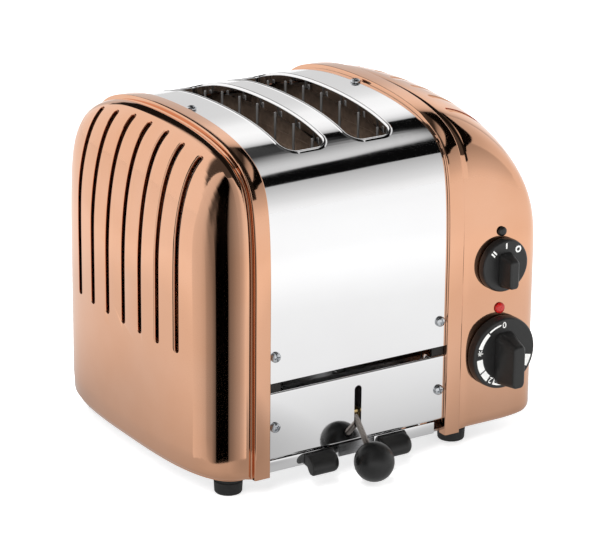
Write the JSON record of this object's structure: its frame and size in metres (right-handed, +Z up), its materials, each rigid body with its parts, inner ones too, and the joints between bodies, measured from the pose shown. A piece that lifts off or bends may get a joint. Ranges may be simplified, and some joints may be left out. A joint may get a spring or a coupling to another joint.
{
  "type": "pop up toaster",
  "caption": "Slot toaster with arched bright cover, vented copper end castings, ball-ended lift lever, timer and selector knobs, and slide-out crumb trays.",
  "frame": {"origin": "centre of the bounding box in plan, at table height under the feet", "axes": "+Z up; -Y to the front with the lever and knobs; +X to the control end"},
  "size_m": [0.2557, 0.2409, 0.22],
  "materials": {
    "copper_plate": "polished copper plate",
    "bright_steel": "mirror polished",
    "plain_steel": "plain sheet and bar",
    "dark_steel": "heat darkened wire",
    "zinc_screw": "zinc plated",
    "black_plastic": "satin",
    "black_rubber": "matte",
    "brass": "machined",
    "brown_mica": "pressed mica sheet",
    "heater_ribbon": "nickel chrome ribbon",
    "red_lens": "clear red",
    "cream_ceramic": "moulded"
  },
  "bodies": {
    "body": {"arch_frame_left": "plain_steel", "arch_frame_right": "plain_steel", "base_plate": "plain_steel", "bread_guard_left_inner": "dark_steel", "bread_guard_left_outer": "dark_steel", "bread_guard_right_inner": "dark_steel", "bread_guard_right_outer": "dark_steel", "cable_gland": "black_plastic", "end_plate_back": "plain_steel", "end_plate_front": "plain_steel", "foot_left_back": "black_rubber", "foot_left_front": "black_rubber", "foot_right_back": "black_rubber", "foot_right_front": "black_rubber", "heater_board_centre": "brown_mica", "heater_board_left": "brown_mica", "heater_board_right": "brown_mica", "heater_ribbon_centre_left": "heater_ribbon", "heater_ribbon_centre_right": "heater_ribbon", "heater_ribbon_left": "heater_ribbon", "heater_ribbon_right": "heater_ribbon", "index_stud": "black_plastic", "left_end_casting": "copper_plate", "lower_back_panel": "bright_steel", "lower_front_panel": "bright_steel", "main_cover": "bright_steel", "neon_lens": "red_lens", "pivot_shaft": "plain_steel", "right_end_casting": "copper_plate", "screw_back_cover_left": "zinc_screw", "screw_back_cover_right": "zinc_screw", "screw_back_panel_left": "zinc_screw", "screw_back_panel_right": "zinc_screw", "screw_front_cover_left": "zinc_screw", "screw_front_cover_right": "zinc_screw", "screw_front_panel_left": "zinc_screw", "screw_front_panel_right": "zinc_screw", "screw_top_left": "zinc_screw", "screw_top_right": "zinc_screw", "selector_switch": "cream_ceramic", "side_plate_left": "plain_steel", "side_plate_right": "plain_steel", "terminal_block": "cream_ceramic", "timer_body": "cream_ceramic"},
    "lever": {"lever_arm": "plain_steel", "lever_rod": "plain_steel", "rod_block": "brass", "ball_knob": "black_plastic"},
    "carriage": {"lift_crossbar": "plain_steel", "bread_rack_left": "dark_steel", "bread_rack_right": "dark_steel"},
    "timer": {"timer_knob": "black_plastic"},
    "selector": {"selector_knob": "black_plastic"},
    "tray_left": {"crumb_tray_left": "bright_steel", "tray_grip_left": "black_plastic"},
    "tray_right": {"crumb_tray_right": "bright_steel", "tray_grip_right": "black_plastic"}
  },
  "joints": [
    {"name": "lever_press", "type": "hinge", "parent": "body", "child": "lever", "pos_m": [-0.02, -0.039, 0.044], "axis": [-1, 0, 0], "range_deg": [0, 21.6]},
    {"name": "carriage_drop", "type": "slide", "parent": "body", "child": "carriage", "axis": [0, 0, -1], "range_m": [0, 0.0301]},
    {"name": "timer_turn", "type": "hinge", "parent": "body", "child": "timer", "pos_m": [0.0845, -0.0894, 0.061], "axis": [0, 1, 0], "range_deg": [0, 270]},
    {"name": "selector_turn", "type": "hinge", "parent": "body", "child": "selector", "pos_m": [0.0845, -0.0894, 0.1184], "axis": [0, 1, 0], "range_deg": [-45, 45]},
    {"name": "tray_left_slide", "type": "slide", "parent": "body", "child": "tray_left", "axis": [0, -1, 0], "range_m": [0, 0.16]},
    {"name": "tray_right_slide", "type": "slide", "parent": "body", "child": "tray_right", "axis": [0, -1, 0], "range_m": [0, 0.16]}
  ],
  "couplings": [
    {"joint": "carriage_drop", "follows": "lever_press", "m_per_rad": 0.0794}
  ]
}
